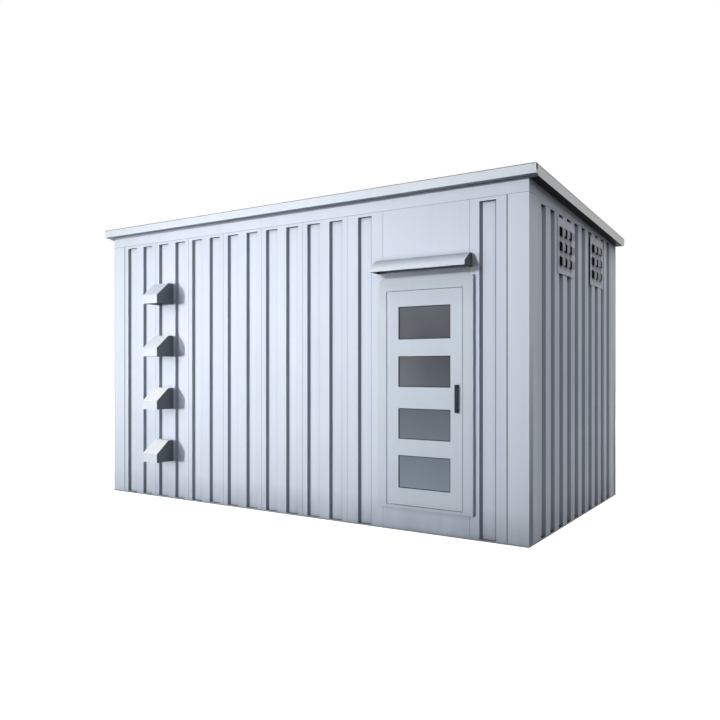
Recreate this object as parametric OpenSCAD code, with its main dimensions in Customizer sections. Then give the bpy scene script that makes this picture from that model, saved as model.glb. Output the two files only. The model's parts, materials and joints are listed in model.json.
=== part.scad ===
/* Armoured equipment shelter: a hollow steel cabin with a ribbed skin,
   one outward-opening glazed door, hooded air vents and a lean-to roof.
   Millimetres, +Z up, X along the front, the front faces -Y.
   The origin is on the ground at the middle of the walls' footprint. */

/* [Body] */
// Length of the walls along the front
body_length = 5290; // [3800:10:8000]
// Depth of the walls from front to rear
body_width = 3010; // [2200:10:4000]
// Thickness of the insulated wall panels
wall_thickness = 100; // [70:5:160]
// Height of the rail the walls stand on
base_rail_height = 15; // [10:5:120]
// Height of the finished floor above the ground
floor_height = 210; // [120:5:300]
// Width of a corner post seen from the front or rear
post_front_width = 200; // [150:5:300]
// Width of a corner post seen from a side
post_side_width = 242.5; // [150:2.5:350]
// Height of the roof edge above the ground at the front wall's face
roof_height = 3197; // [2900:1:3800]
// Height of the head rail over the front wall
front_head_height = 160; // [120:5:300]
// Height of the head rail over the rear wall
rear_head_height = 44.5; // [30:0.5:120]

/* [Cladding] */
// Number of grooves in the front wall left of the door panels
front_grooves = 12; // [4:2:20]
// Width of a groove at the face in the front and rear walls
front_groove_width = 155; // [60:1:200]
// Plain sheet left over the grooves of the front wall
front_groove_margin = 30; // [5:5:100]
// Number of grooves in a side wall
side_grooves = 10; // [4:2:16]
// Width of a groove at the face in the side walls
side_groove_width = 128; // [60:1:200]
// Plain sheet left over the grooves of the side and rear walls
side_groove_margin = 10; // [5:5:100]
// Depth of the pressed grooves
groove_depth = 28; // [10:1:50]
// Run of a groove's sloping flank
groove_flank = 21; // [5:1:40]
// Number of grooves in the rear wall
rear_grooves = 18; // [6:2:28]
// Width of the thin joint line between two skin sheets
seam_width = 4; // [2:1:10]
// Depth of the thin joint line between two skin sheets
seam_depth = 3; // [1:1:8]

/* [Door bay] */
// Width of the one-groove panel left of the door
door_left_panel = 405; // [250:5:700]
// Width of the door bay between its two side panels
door_bay_width = 885; // [750:5:1200]
// Width of the one-groove panel right of the door
door_right_panel = 340; // [250:5:700]
// Height of the door casing
casing_height = 2115; // [1900:5:2600]
// How far the casing stands out from the wall
casing_projection = 30; // [10:1:60]
// Casing overlap on the wall at the hinge side
casing_lap_left = 15; // [5:1:60]
// Casing overlap on the wall at the handle side
casing_lap_right = 45; // [5:1:80]
// Casing overlap on the panel below the door
casing_lap_bottom = 15; // [5:1:60]
// Casing overlap on the panel above the door
casing_lap_top = 45; // [5:1:80]

/* [Door leaf] */
// Thickness of the door leaf
leaf_thickness = 60; // [40:2:100]
// Leaf's hinge edge from the casing's outer edge
leaf_inset_left = 80; // [60:1:150]
// Leaf's handle edge from the casing's outer edge
leaf_inset_right = 100; // [60:1:150]
// Bottom of the leaf above the bottom of the casing
leaf_inset_bottom = 33; // [25:1:90]
// Top of the leaf below the top of the casing
leaf_inset_top = 110; // [60:1:200]
// Gap beside the leaf at its hinge edge
hinge_gap = 9; // [7:1:15]
// Gap beside the leaf at its handle edge
lock_gap = 5; // [5:1:10]
// Gap under the leaf
bottom_gap = 6; // [5:1:12]
// Gap over the leaf
top_gap = 5; // [5:1:10]
// Gap between the closed leaf and the door stop
stop_gap = 5; // [5:1:10]
// Gap behind the leaf at its hinge edge
hinge_stop_gap = 12; // [10:1:20]
// Width of the door stop around the clear opening
stop_width = 20; // [10:1:40]

/* [Door windows] */
// Thickness of the armoured glass
pane_thickness = 30; // [10:1:50]
// How far the glass lies back from the leaf's face
pane_recess = 8; // [2:1:20]
// Leaf left between the windows and its hinge edge
pane_inset_left = 120; // [60:5:200]
// Leaf left between the windows and its handle edge
pane_inset_right = 115; // [90:5:200]
// How much taller the lowest and top windows are than the middle two
outer_pane_extra = 18; // [0:2:60]
// Leaf left under the lowest window
pane_gap_1 = 156; // [60:2:300]
// Leaf left between the first and second windows
pane_gap_2 = 150; // [60:2:300]
// Leaf left between the second and third windows
pane_gap_3 = 196; // [60:2:300]
// Leaf left between the third and top windows
pane_gap_4 = 154; // [60:2:300]
// Leaf left over the top window
pane_gap_5 = 144; // [60:2:300]

/* [Door fittings] */
// Pivot axis from the leaf's hinge edge
pivot_inset = 22; // [16:1:30]
// Pivot axis behind the leaf's outer face
pivot_depth = 12; // [10:1:16]
// Radius of a pivot pin
pivot_pin_radius = 7; // [5:0.5:8]
// Radius of a pivot's thrust collar
pivot_collar_radius = 11; // [9:0.5:12]
// Length of a pivot pin inside the leaf
pivot_pin_length = 38; // [20:1:60]
// Clearance around a pivot pin
pivot_clearance = 1; // [0.5:0.1:2]
// Room in the bore past the end of a pivot pin
pivot_end_gap = 5; // [2:1:10]
// Length of the pull handle
handle_length = 246; // [150:2:600]
// Width of the pull handle's bar
handle_width = 28; // [15:1:50]
// Thickness of the pull handle's bar
handle_thickness = 13; // [8:1:30]
// Gap between the handle's bar and the leaf
handle_standoff = 14; // [10:1:70]
// Height of the handle's feet
handle_foot = 22; // [12:1:40]
// Width of the handle's feet
handle_foot_width = 24; // [12:1:40]
// Handle's middle line from the leaf's free edge
handle_inset = 49; // [30:1:80]
// Height of the handle's middle above the floor
handle_height = 1025; // [800:5:1200]

/* [Door hood] */
// Width of the rain hood over the door
door_hood_width = 960; // [700:5:1400]
// How far the door hood reaches past the casing's left edge
door_hood_reach = 33; // [0:1:200]
// Height of the door hood from lip to top
door_hood_height = 119; // [80:1:250]
// Projection of the door hood from the wall
door_hood_projection = 165; // [100:1:400]
// Height of the door hood's front lip
door_hood_lip = 39; // [20:1:100]
// Depth of the door hood's flat top
door_hood_flat = 50; // [10:1:150]
// Gap between the door casing and the door hood over it
door_hood_gap = 68; // [20:1:200]

/* [Vent hoods] */
// Width of a vent hood
vent_hood_width = 232; // [120:1:400]
// Projection of a vent hood from the wall
vent_hood_projection = 241; // [100:1:400]
// Height of a vent hood
vent_hood_height = 240; // [120:1:400]
// Height of a vent hood's front lip
vent_hood_lip = 96; // [30:1:200]
// Depth of a vent hood's flat top
vent_hood_flat = 72; // [20:1:200]
// Vent hoods' left edge from the building's left end
vent_hood_start = 803; // [300:1:2400]
// Underside of the lowest vent hood above the ground
vent_hood_bottom = 434; // [200:1:900]
// Height step from one vent hood to the next
vent_hood_step = 603; // [400:1:900]
// Thickness of the hoods' folded sheet
hood_sheet = 4; // [2:0.5:8]
// Width of the air slot through the wall under a vent hood
air_slot_width = 160; // [60:5:220]
// Height of the air slot through the wall under a vent hood
air_slot_height = 60; // [30:5:120]
// Air slot's lower edge above the hood's lower edge
air_slot_rise = 90; // [60:5:150]

/* [Side vents] */
// Width of a side vent plate
vent_plate_width = 515; // [300:5:700]
// Height of a side vent plate
vent_plate_height = 520; // [300:5:700]
// Thickness of a side vent plate
vent_plate_thickness = 5; // [2:0.5:12]
// Wall left between a side vent plate and the head rail over it
vent_plate_margin = 40; // [20:5:900]
// Distance between the middles of the two vent plates
vent_plate_spacing = 1125; // [600:5:1600]
// Shift of the pair of vent plates towards the rear
vent_plate_shift = 70; // [0:5:300]
// Width of a louvre
louvre_width = 90; // [50:2:150]
// Height of a louvre
louvre_height = 90; // [50:2:150]
// How far a louvre stands out from its plate
louvre_projection = 28; // [10:1:50]
// Height of the sloping shoulder at the top of a louvre
louvre_rise = 25; // [5:1:60]
// Thickness of a louvre's tongue
louvre_sheet = 4; // [2:0.5:6]
// Step between louvres along the wall
louvre_step_across = 150; // [100:2.5:250]
// Step between louvres up the plate
louvre_step_up = 137.5; // [100:2.5:250]
// Width of the duct through the wall behind a vent plate
duct_width = 420; // [200:5:600]
// Height of the duct through the wall behind a vent plate
duct_height = 400; // [200:5:600]

/* [Roof] */
// Fall of the roof towards the rear for each unit of depth
roof_fall = 0.05; // [0.02:0.005:0.12]
// Thickness of the roof deck
deck_thickness = 40; // [20:1:80]
// How far the deck lies below the top of the roof edge
deck_recess = 12; // [4:1:30]
// Height of the front eaves trim and the rear gutter
eaves_height = 88; // [60:1:200]
// Height of the side eaves trims
side_eaves_height = 97; // [60:1:200]
// Overhang of the front eaves
eaves_front = 71; // [40:1:300]
// Overhang of the side eaves
eaves_side = 83; // [40:1:300]
// Width of the rear gutter
gutter_width = 77; // [50:1:200]
// Wall thickness of the gutter
gutter_sheet = 6; // [3:1:10]
// How far the gutter's inner wall lies below the roof edge
gutter_inlet = 24; // [14:1:60]
// Outside radius of the gutter's lower edge
gutter_radius = 36; // [10:1:60]
// Length of the open end slot in the front eaves trim
end_slot_width = 35; // [10:1:50]
// Height of the open end slot in the front eaves trim
end_slot_height = 46; // [10:1:70]
// Depth of the open end slot in the front eaves trim
end_slot_depth = 40; // [10:1:80]
// Edge left around the open end slot
end_slot_edge = 6; // [3:1:15]

/* [Hidden] */
half_length = body_length / 2;
half_width = body_width / 2;
inner_half_length = half_length - wall_thickness;
inner_half_width = half_width - wall_thickness;
front_face = -half_width;
side_run = body_width - 2 * post_side_width;
front_joint_height = roof_height - deck_recess - deck_thickness - front_head_height;
rear_joint_height = roof_height - body_width * roof_fall - deck_recess - deck_thickness
  - rear_head_height;
front_groove_top = front_joint_height - front_groove_margin;
side_groove_top = rear_joint_height - side_groove_margin;
rear_run = body_length - 2 * post_front_width;
bay_right = half_length - post_front_width - door_right_panel;
bay_left = bay_right - door_bay_width;
front_run = bay_left - door_left_panel - post_front_width + half_length;
front_pitch = front_run / front_grooves;
side_pitch = side_run / side_grooves;
rear_pitch = rear_run / rear_grooves;
cut = 1;
round_facets = 48;
casing_left = bay_left - casing_lap_left;
casing_right = bay_right + casing_lap_right;
casing_bottom = floor_height;
casing_top = casing_bottom + casing_height;
sill_top = casing_bottom + casing_lap_bottom;
lintel_bottom = casing_top - casing_lap_top;
leaf_left = casing_left + leaf_inset_left;
leaf_right = casing_right - leaf_inset_right;
leaf_bottom = casing_bottom + leaf_inset_bottom;
leaf_top = casing_top - leaf_inset_top;
leaf_face = front_face - casing_projection;
leaf_back = leaf_face + leaf_thickness;
pocket_left = leaf_left - hinge_gap;
pocket_right = leaf_right + lock_gap;
pocket_bottom = leaf_bottom - bottom_gap;
pocket_top = leaf_top + top_gap;
pane_left = leaf_left + pane_inset_left;
pane_right = leaf_right - pane_inset_right;
pane_count = 4;
pane_room = leaf_top - leaf_bottom
  - pane_gap_1 - pane_gap_2 - pane_gap_3 - pane_gap_4 - pane_gap_5;
middle_pane_height = (pane_room - 2 * outer_pane_extra) / pane_count;
outer_pane_height = middle_pane_height + outer_pane_extra;
pane_bottom_1 = leaf_bottom + pane_gap_1;
pane_bottom_2 = pane_bottom_1 + outer_pane_height + pane_gap_2;
pane_bottom_3 = pane_bottom_2 + middle_pane_height + pane_gap_3;
pane_bottom_4 = pane_bottom_3 + middle_pane_height + pane_gap_4;
pivot_x = leaf_left + pivot_inset;
pivot_y = leaf_face + pivot_depth;
handle_x = leaf_right - handle_inset;
handle_bottom = floor_height + handle_height - handle_length / 2;
door_hood_left = casing_left - door_hood_reach;
door_hood_bottom = casing_top + door_hood_gap;
vent_hood_left = vent_hood_start - half_length;
plate_front_y = vent_plate_shift - vent_plate_spacing / 2;
plate_rear_y = vent_plate_shift + vent_plate_spacing / 2;
plate_middle = rear_joint_height - vent_plate_margin - vent_plate_height / 2;
louvre_root = louvre_height - louvre_sheet / cos(atan(louvre_rise / louvre_projection));
louvre_shoulder = louvre_root - louvre_rise * (1 - louvre_sheet / louvre_projection);
eaves_outer = half_length + eaves_side;
paint = [0.86, 0.89, 0.93];
trim_paint = [0.93, 0.94, 0.95];
door_paint = [0.78, 0.82, 0.86];
roof_paint = [0.80, 0.82, 0.84];
dark_steel = [0.14, 0.17, 0.20];
glass = [0.35, 0.37, 0.40];
floor_paint = [0.45, 0.47, 0.50];

// Height of the roof edge's top at a distance y from the middle of the building
function edge_top(y) = roof_height - (y + half_width) * roof_fall;
function deck_top(y) = edge_top(y) - deck_recess;
function wall_top(y) = deck_top(y) - deck_thickness;
// Height of the underside of a vent hood, counted from the lowest
function hood_bottom(i) = vent_hood_bottom + (i - 1) * vent_hood_step;

// A prism along X with its end drawn in the Y-Z plane
module bar_x(start, stop, points)
  translate([start, 0, 0])
    rotate([90, 0, 90])
      linear_extrude(height = stop - start)
        polygon(points);

// A box given by its low and high corners
module block(low, high)
  translate(low)
    cube(high - low);

// The cutter for one pressed groove, in a panel whose face is at y = 0
module groove(middle, width, low, high)
  translate([middle, 0, low])
    linear_extrude(height = high - low)
      polygon([
        [-width / 2, -cut],
        [width / 2, -cut],
        [width / 2, 0],
        [width / 2 - groove_flank, groove_depth],
        [-width / 2 + groove_flank, groove_depth],
        [-width / 2, 0]
      ]);

// The cutter for the thin joint line between two sheets
module seam(middle, low, high)
  translate([middle - seam_width / 2, -cut, low - cut])
    cube([seam_width, seam_depth + cut, high - low + 2 * cut]);

// A ribbed wall panel along +X from 0 with its face at y = 0; its grooves run out at its foot
module ribbed_panel(run, top, count, pitch, width, groove_top)
  difference() {
    translate([0, 0, base_rail_height])
      cube([run, wall_thickness, top - base_rail_height]);
    for (i = [0 : count - 1])
      groove((i + 0.5) * pitch, width, base_rail_height - cut, groove_top);
    if (count > 2)
      for (i = [2 : 2 : count - 2])
        seam(i * pitch, base_rail_height, top);
  }

// An L-shaped corner post for the quarter with x and y above zero
module corner_post(top)
  translate([0, 0, base_rail_height])
    linear_extrude(height = top - base_rail_height)
      polygon([
        [half_length, half_width],
        [half_length - post_front_width, half_width],
        [half_length - post_front_width, inner_half_width],
        [inner_half_length, inner_half_width],
        [inner_half_length, half_width - post_side_width],
        [half_length, half_width - post_side_width]
      ]);

// A folded hood with closed ends and an open underside, its left end at x = 0
module hood(width, projection, height, lip, flat) {
  slope = atan((height - lip) / (projection - flat));
  difference() {
    bar_x(0, width, [
      [0, 0],
      [0, height],
      [-flat, height],
      [-projection, lip],
      [-projection, 0]
    ]);
    bar_x(hood_sheet, width - hood_sheet, [
      [cut, -cut],
      [cut, height - hood_sheet],
      [-flat + hood_sheet * tan(slope / 2), height - hood_sheet],
      [-projection + hood_sheet, lip - hood_sheet * tan(45 - slope / 2)],
      [-projection + hood_sheet, -cut]
    ]);
  }
}

module vent_hood(i)
  translate([vent_hood_left, front_face, hood_bottom(i)])
    hood(vent_hood_width, vent_hood_projection, vent_hood_height,
      vent_hood_lip, vent_hood_flat);

// One armoured window pane between two heights
module pane(bottom, height)
  block([pane_left, leaf_face + pane_recess, bottom],
    [pane_right, leaf_face + pane_recess + pane_thickness, bottom + height]);

// The cutter for one window opening through the leaf
module pane_opening(bottom, height)
  block([pane_left, leaf_face - cut, bottom], [pane_right, leaf_back + cut, bottom + height]);

// The cutter for one louvre hole, in a plate whose middle is at y = 0, z = 0
module louvre_hole(across, up)
  translate([-cut, across - louvre_width / 2 + louvre_sheet, up - louvre_height / 2])
    cube([vent_plate_thickness + 2 * cut, louvre_width - 2 * louvre_sheet,
      louvre_root - louvre_sheet]);

// One louvre tongue with a sloping shoulder, open at both ends and underneath
module louvre_tongue(across, up)
  translate([vent_plate_thickness, across + louvre_width / 2, up - louvre_height / 2])
    rotate([90, 0, 0])
      linear_extrude(height = louvre_width)
        polygon([
          [0, louvre_height],
          [louvre_projection, louvre_height - louvre_rise],
          [louvre_projection, 0],
          [louvre_projection - louvre_sheet, 0],
          [louvre_projection - louvre_sheet, louvre_shoulder],
          [0, louvre_root]
        ]);

// A vent plate on the right-hand wall with three rows of three louvres
module side_vent(middle)
  translate([half_length, middle, plate_middle]) {
    difference() {
      translate([0, -vent_plate_width / 2, -vent_plate_height / 2])
        cube([vent_plate_thickness, vent_plate_width, vent_plate_height]);
      for (i = [-1 : 1])
        for (j = [-1 : 1])
          louvre_hole(i * louvre_step_across, j * louvre_step_up);
    }
    for (i = [-1 : 1])
      for (j = [-1 : 1])
        louvre_tongue(i * louvre_step_across, j * louvre_step_up);
  }

// The cutter for the duct through the right-hand wall behind a vent plate
module duct(middle)
  translate([inner_half_length - cut, middle - duct_width / 2,
      plate_middle - duct_height / 2])
    cube([wall_thickness + 2 * cut, duct_width, duct_height]);

// A length of eaves trim that follows the roof's fall
module eaves(start, stop, near, far, height)
  bar_x(start, stop, [
    [near, edge_top(near) - height],
    [far, edge_top(far) - height],
    [far, edge_top(far)],
    [near, edge_top(near)]
  ]);

// The gutter's outline, its inner side on y = 0 and its underside on z = 0
module gutter_outline(width, height, radius) {
  square([width - radius, height]);
  translate([0, radius])
    square([width, height - radius]);
  translate([width - radius, radius])
    circle(r = radius, $fn = round_facets);
}

module base_rail_front()
  color(paint)
    block([-half_length, -half_width, 0], [half_length, -inner_half_width, base_rail_height]);

module base_rail_rear()
  color(paint)
    block([-half_length, inner_half_width, 0], [half_length, half_width, base_rail_height]);

module base_rail_left()
  color(paint)
    block([-half_length, -inner_half_width, 0],
      [-inner_half_length, inner_half_width, base_rail_height]);

module base_rail_right()
  color(paint)
    block([inner_half_length, -inner_half_width, 0],
      [half_length, inner_half_width, base_rail_height]);

module floor_deck()
  color(floor_paint)
    block([-inner_half_length, -inner_half_width, 0],
      [inner_half_length, inner_half_width, floor_height]);

module corner_post_front_left()
  color(paint)
    rotate([0, 0, 180])
      corner_post(front_joint_height);

module corner_post_front_right()
  color(paint)
    mirror([0, 1, 0])
      corner_post(front_joint_height);

module corner_post_rear_left()
  color(paint)
    mirror([1, 0, 0])
      corner_post(rear_joint_height);

module corner_post_rear_right()
  color(paint)
    corner_post(rear_joint_height);

module head_rail_front()
  color(paint)
    bar_x(-half_length, half_length, [
      [-half_width, front_joint_height],
      [-inner_half_width, front_joint_height],
      [-inner_half_width, wall_top(-inner_half_width)],
      [-half_width, wall_top(-half_width)]
    ]);

module head_rail_rear()
  color(paint)
    bar_x(-half_length, half_length, [
      [inner_half_width, rear_joint_height],
      [half_width, rear_joint_height],
      [half_width, wall_top(half_width)],
      [inner_half_width, wall_top(inner_half_width)]
    ]);

// The side head rail steps down from the front post's top to the side wall's top
module side_head_rail(start)
  bar_x(start, start + wall_thickness, [
    [-inner_half_width, front_joint_height],
    [-side_run / 2, front_joint_height],
    [-side_run / 2, rear_joint_height],
    [inner_half_width, rear_joint_height],
    [inner_half_width, wall_top(inner_half_width)],
    [-inner_half_width, wall_top(-inner_half_width)]
  ]);

module head_rail_left()
  color(paint)
    side_head_rail(-half_length);

module head_rail_right()
  color(paint)
    side_head_rail(inner_half_length);

module wall_front_left()
  color(paint)
    difference() {
      translate([-half_length + post_front_width, front_face, 0])
        ribbed_panel(front_run, front_joint_height, front_grooves, front_pitch,
          front_groove_width, front_groove_top);
      for (i = [1 : 4])
        translate([vent_hood_left + vent_hood_width / 2 - air_slot_width / 2,
            front_face - cut, hood_bottom(i) + air_slot_rise])
          cube([air_slot_width, wall_thickness + 2 * cut, air_slot_height]);
    }

module wall_door_left()
  color(paint)
    translate([bay_left - door_left_panel, front_face, 0])
      ribbed_panel(door_left_panel, front_joint_height, 1, door_left_panel,
        front_groove_width, front_groove_top);

module wall_door_right()
  color(paint)
    translate([bay_right, front_face, 0])
      ribbed_panel(door_right_panel, front_joint_height, 1, door_right_panel,
        front_groove_width, front_groove_top);

module wall_lintel()
  color(paint)
    block([bay_left, -half_width, lintel_bottom],
      [bay_right, -inner_half_width, front_joint_height]);

module wall_sill()
  color(paint)
    block([bay_left, -half_width, base_rail_height],
      [bay_right, -inner_half_width, sill_top]);

module wall_right()
  color(paint)
    difference() {
      translate([half_length, -side_run / 2, 0])
        rotate([0, 0, 90])
          ribbed_panel(side_run, rear_joint_height, side_grooves, side_pitch,
            side_groove_width, side_groove_top);
      duct(plate_front_y);
      duct(plate_rear_y);
    }

module wall_left()
  color(paint)
    translate([-half_length, side_run / 2, 0])
      rotate([0, 0, -90])
        ribbed_panel(side_run, rear_joint_height, side_grooves, side_pitch,
          side_groove_width, side_groove_top);

module wall_rear()
  color(paint)
    translate([half_length - post_front_width, half_width, 0])
      rotate([0, 0, 180])
        ribbed_panel(rear_run, rear_joint_height, rear_grooves, rear_pitch,
          front_groove_width, side_groove_top);

module roof_deck()
  color(roof_paint)
    bar_x(-half_length, half_length, [
      [-half_width, wall_top(-half_width)],
      [half_width, wall_top(half_width)],
      [half_width, deck_top(half_width)],
      [-half_width, deck_top(-half_width)]
    ]);

module eaves_front()
  color(trim_paint)
    difference() {
      eaves(-eaves_outer, eaves_outer, -half_width - eaves_front, -half_width, eaves_height);
      for (side = [-1, 1])
        translate([side * eaves_outer - end_slot_depth,
            -half_width - eaves_front + end_slot_edge,
            edge_top(-half_width) - end_slot_edge - end_slot_height])
          cube([2 * end_slot_depth, end_slot_width, end_slot_height]);
    }

module eaves_left()
  color(trim_paint)
    eaves(-eaves_outer, -half_length, -half_width, half_width, side_eaves_height);

module eaves_right()
  color(trim_paint)
    eaves(half_length, eaves_outer, -half_width, half_width, side_eaves_height);

module rear_gutter()
  color(trim_paint)
    translate([0, half_width, edge_top(half_width) - eaves_height])
      difference() {
        translate([-eaves_outer, 0, 0])
          rotate([90, 0, 90])
            linear_extrude(height = 2 * eaves_outer)
              gutter_outline(gutter_width, eaves_height, gutter_radius);
        translate([-eaves_outer + gutter_sheet, gutter_sheet, gutter_sheet])
          rotate([90, 0, 90])
            linear_extrude(height = 2 * (eaves_outer - gutter_sheet))
              gutter_outline(gutter_width - 2 * gutter_sheet, eaves_height,
                gutter_radius - gutter_sheet);
        translate([-half_length, -cut, eaves_height - gutter_inlet])
          cube([body_length, 2 * cut + gutter_sheet, eaves_height]);
      }

module door_casing()
  color(door_paint)
    difference() {
      union() {
        block([casing_left, leaf_face, casing_bottom],
          [casing_right, front_face, casing_top]);
        block([bay_left, front_face, sill_top],
          [bay_right, -inner_half_width, lintel_bottom]);
      }
      block([pocket_left, leaf_face - cut, pocket_bottom],
        [pocket_right, leaf_back + stop_gap, pocket_top]);
      block([pocket_left, leaf_face, pocket_bottom],
        [pocket_left + stop_width + cut, leaf_back + hinge_stop_gap, pocket_top]);
      block([pocket_left + stop_width, leaf_face, pocket_bottom],
        [pocket_right - stop_width, -inner_half_width + cut, pocket_top - stop_width]);
    }

module door_leaf()
  color(door_paint)
    difference() {
      block([leaf_left, leaf_face, leaf_bottom], [leaf_right, leaf_back, leaf_top]);
      pane_opening(pane_bottom_1, outer_pane_height);
      pane_opening(pane_bottom_2, middle_pane_height);
      pane_opening(pane_bottom_3, middle_pane_height);
      pane_opening(pane_bottom_4, outer_pane_height);
      for (low = [leaf_bottom - cut, leaf_top - pivot_pin_length - pivot_end_gap])
        translate([pivot_x, pivot_y, low])
          cylinder(r = pivot_pin_radius + pivot_clearance,
            h = pivot_pin_length + pivot_end_gap + cut, $fn = round_facets);
    }

module door_pane_1()
  color(glass)
    pane(pane_bottom_1, outer_pane_height);

module door_pane_2()
  color(glass)
    pane(pane_bottom_2, middle_pane_height);

module door_pane_3()
  color(glass)
    pane(pane_bottom_3, middle_pane_height);

module door_pane_4()
  color(glass)
    pane(pane_bottom_4, outer_pane_height);

module door_handle()
  color(dark_steel) {
    translate([handle_x - handle_width / 2,
        leaf_face - handle_standoff - handle_thickness, handle_bottom])
      cube([handle_width, handle_thickness, handle_length]);
    for (low = [0, handle_length - handle_foot])
      translate([handle_x - handle_foot_width / 2, leaf_face - handle_standoff,
          handle_bottom + low])
        cube([handle_foot_width, handle_standoff, handle_foot]);
  }

module door_pivot_lower()
  color(dark_steel)
    translate([pivot_x, pivot_y, pocket_bottom]) {
      cylinder(r = pivot_collar_radius, h = bottom_gap - pivot_clearance, $fn = round_facets);
      cylinder(r = pivot_pin_radius, h = bottom_gap + pivot_pin_length, $fn = round_facets);
    }

module door_pivot_upper()
  color(dark_steel)
    translate([pivot_x, pivot_y, pocket_top])
      mirror([0, 0, 1]) {
        cylinder(r = pivot_collar_radius, h = top_gap - pivot_clearance, $fn = round_facets);
        cylinder(r = pivot_pin_radius, h = top_gap + pivot_pin_length, $fn = round_facets);
      }

module door_hood()
  color(trim_paint)
    translate([door_hood_left, front_face, door_hood_bottom])
      hood(door_hood_width, door_hood_projection, door_hood_height,
        door_hood_lip, door_hood_flat);

module vent_hood_1()
  color(trim_paint)
    vent_hood(1);

module vent_hood_2()
  color(trim_paint)
    vent_hood(2);

module vent_hood_3()
  color(trim_paint)
    vent_hood(3);

module vent_hood_4()
  color(trim_paint)
    vent_hood(4);

module side_vent_front()
  color(paint)
    side_vent(plate_front_y);

module side_vent_rear()
  color(paint)
    side_vent(plate_rear_y);

base_rail_front();
base_rail_rear();
base_rail_left();
base_rail_right();
floor_deck();
corner_post_front_left();
corner_post_front_right();
corner_post_rear_left();
corner_post_rear_right();
head_rail_front();
head_rail_rear();
head_rail_left();
head_rail_right();
wall_front_left();
wall_door_left();
wall_door_right();
wall_lintel();
wall_sill();
wall_right();
wall_left();
wall_rear();
roof_deck();
eaves_front();
eaves_left();
eaves_right();
rear_gutter();
door_casing();
door_leaf();
door_pane_1();
door_pane_2();
door_pane_3();
door_pane_4();
door_handle();
door_pivot_lower();
door_pivot_upper();
door_hood();
vent_hood_1();
vent_hood_2();
vent_hood_3();
vent_hood_4();
side_vent_front();
side_vent_rear();
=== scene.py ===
"""Armoured equipment shelter: finishes, small fittings, studio and camera round the CAD frame."""
import json
import math

import bmesh
import bpy
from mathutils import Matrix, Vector


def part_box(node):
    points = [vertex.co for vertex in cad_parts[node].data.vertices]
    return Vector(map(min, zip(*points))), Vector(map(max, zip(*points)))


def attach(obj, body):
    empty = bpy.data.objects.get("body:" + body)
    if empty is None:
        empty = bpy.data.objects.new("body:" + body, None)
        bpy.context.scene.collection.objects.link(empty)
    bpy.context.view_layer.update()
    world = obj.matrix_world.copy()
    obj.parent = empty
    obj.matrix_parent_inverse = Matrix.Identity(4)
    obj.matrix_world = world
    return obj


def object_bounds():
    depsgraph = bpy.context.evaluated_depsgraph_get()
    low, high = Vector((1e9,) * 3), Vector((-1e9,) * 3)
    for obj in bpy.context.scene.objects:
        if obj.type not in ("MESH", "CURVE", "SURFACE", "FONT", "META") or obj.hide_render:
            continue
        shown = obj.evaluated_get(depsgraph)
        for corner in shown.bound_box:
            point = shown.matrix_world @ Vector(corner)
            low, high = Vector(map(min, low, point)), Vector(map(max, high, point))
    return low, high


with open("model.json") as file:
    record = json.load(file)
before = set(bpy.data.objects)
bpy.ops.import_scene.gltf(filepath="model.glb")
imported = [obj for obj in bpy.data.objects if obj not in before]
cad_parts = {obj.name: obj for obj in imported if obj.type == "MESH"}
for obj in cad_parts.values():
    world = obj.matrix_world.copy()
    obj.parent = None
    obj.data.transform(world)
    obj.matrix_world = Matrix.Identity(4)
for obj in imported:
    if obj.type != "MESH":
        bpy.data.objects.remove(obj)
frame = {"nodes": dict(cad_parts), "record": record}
cad_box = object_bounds()

SHELTER = "shelter"
DOOR = "door"

MM = 0.001
EAST, NORTH, UP = Vector((1, 0, 0)), Vector((0, 1, 0)), Vector((0, 0, 1))

# Camera: 1.5 m above the ground, in front of the door end, turned towards the left
CAMERA_PLACE = (4.689, -7.301, 1.500)
CAMERA_TURN = 0.5711
CAMERA_LENS = 35.7630
CAMERA_SENSOR = 36.0
CAMERA_SHIFT = (-0.0002, 0.0120)

# Paint, dirt, painted light and shade, and glass colours, linear
WALL_PAINT = (0.735, 0.800, 0.920)
FRAME_PAINT = (0.770, 0.838, 0.955)
TRIM_PAINT = (0.790, 0.860, 0.940)
# Painted light on the trim's side faces
TRIM_SIDE_LIGHT = (0.900, 0.915, 0.920)
HOOD_PAINT = (0.750, 0.820, 0.900)
DOOR_PAINT = (0.660, 0.740, 0.830)
ROOF_PAINT = (0.620, 0.650, 0.690)
FLOOR_PAINT = (0.150, 0.160, 0.170)
LINING_PAINT = (0.700, 0.710, 0.690)
LINING_JOINT = (0.300, 0.310, 0.310)
# Dust with painted shade, near the ground
DUST_AND_SHADE = (0.420, 0.430, 0.450)
# Painted shade on the hood ends and undersides
SHADE_DARK = (0.030, 0.038, 0.046)
# Painted shade, near black, under things and at the foot of the grooves
SHADE_BLACK = (0.008, 0.010, 0.013)
# Painted shade under the front eaves
SOFFIT_SHADE = (0.430, 0.480, 0.550)
# Painted light on the low vent-hood slopes
SLOPE_LIGHT = (0.960, 0.985, 1.000)
# Painted shade in the groove flanks and by the corners, and dirt with painted shade at the foot of the
# walls
GRIME_AND_SHADE = (0.100, 0.140, 0.200)
GLASS_TINT = (0.074, 0.086, 0.104)
# Painted reflection, with dust, on the low panes
GLASS_REFLECTION_AND_DUST = (0.280, 0.345, 0.420)
HANDLE_BLACK = (0.018, 0.028, 0.040)
HANDLE_WORN = (0.030, 0.042, 0.056)

# Light colours
LAMP_TINT = (1.00, 0.97, 0.93)
SKY_TINT = (0.95, 0.97, 1.00, 1.0)
WHITE = (1.0, 1.0, 1.0, 1.0)

# Most of the noise lies between these values
NOISE_SPREAD = (0.30, 0.70)

# A face's direction, between none and all of what a finish puts on such faces
DOWNWARD = (-0.55, -0.35)
SIDEWAYS = (0.80, 0.95)
SLOPING_UP = (0.30, 0.60)
LEVEL = (0.60, 0.90)

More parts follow.
